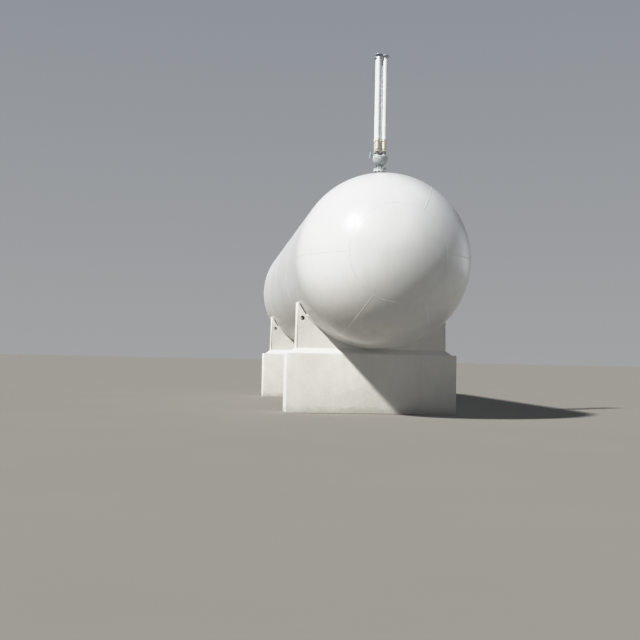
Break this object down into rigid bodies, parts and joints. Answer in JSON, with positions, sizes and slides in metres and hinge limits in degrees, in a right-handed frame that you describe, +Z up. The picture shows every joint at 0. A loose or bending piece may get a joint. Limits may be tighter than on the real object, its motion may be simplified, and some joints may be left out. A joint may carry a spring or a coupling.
{
  "type": "horizontal cylindrical gas storage tank on concrete saddles",
  "caption": "Horizontal welded pressure tank for liquefied gas with hemispherical heads, on concrete saddles, with a cluster of relief valves and tall vent stacks on its crown.",
  "frame": {"origin": "on the ground under the middle of the tank, midway between its two saddles", "axes": "+Z up, +Y along the tank's axis towards the rear head, away from the head that carries the relief cluster; +X to the right as the front head is faced"},
  "size_m": [3.8, 13.82, 7.8236],
  "materials": {
    "vessel_paint": "gloss",
    "concrete_paint": "matte",
    "pad_paint": "satin",
    "cast_paint": "satin",
    "wheel_iron": "satin",
    "valve_brass": "satin",
    "stack_paint": "gloss",
    "cap_paint": "satin"
  },
  "bodies": {
    "root": {"front_head_polar_cap": "vessel_paint", "front_head_petal_1": "vessel_paint", "front_head_petal_2": "vessel_paint", "front_head_petal_3": "vessel_paint", "front_head_petal_4": "vessel_paint", "front_head_petal_5": "vessel_paint", "front_head_petal_6": "vessel_paint", "front_saddle": "concrete_paint", "front_wear_plate": "pad_paint", "rear_head_polar_cap": "vessel_paint", "rear_head_petal_1": "vessel_paint", "rear_head_petal_2": "vessel_paint", "rear_head_petal_3": "vessel_paint", "rear_head_petal_4": "vessel_paint", "rear_head_petal_5": "vessel_paint", "rear_head_petal_6": "vessel_paint", "rear_saddle": "concrete_paint", "rear_wear_plate": "pad_paint", "shell_course_1": "vessel_paint", "relief_valve_1": "valve_brass", "vent_stack_1": "stack_paint", "rain_cap_1": "cap_paint", "shell_course_2": "vessel_paint", "relief_valve_2": "valve_brass", "vent_stack_2": "stack_paint", "rain_cap_2": "cap_paint", "shell_course_3": "vessel_paint", "relief_valve_3": "valve_brass", "vent_stack_3": "stack_paint", "rain_cap_3": "cap_paint", "shell_course_4": "vessel_paint", "relief_valve_4": "valve_brass", "vent_stack_4": "stack_paint", "rain_cap_4": "cap_paint", "relief_nozzle_pad": "vessel_paint", "relief_nozzle_neck": "vessel_paint", "relief_nozzle_flange": "vessel_paint", "relief_manifold": "cast_paint", "selector_handwheel": "wheel_iron"}
  },
  "joints": []
}
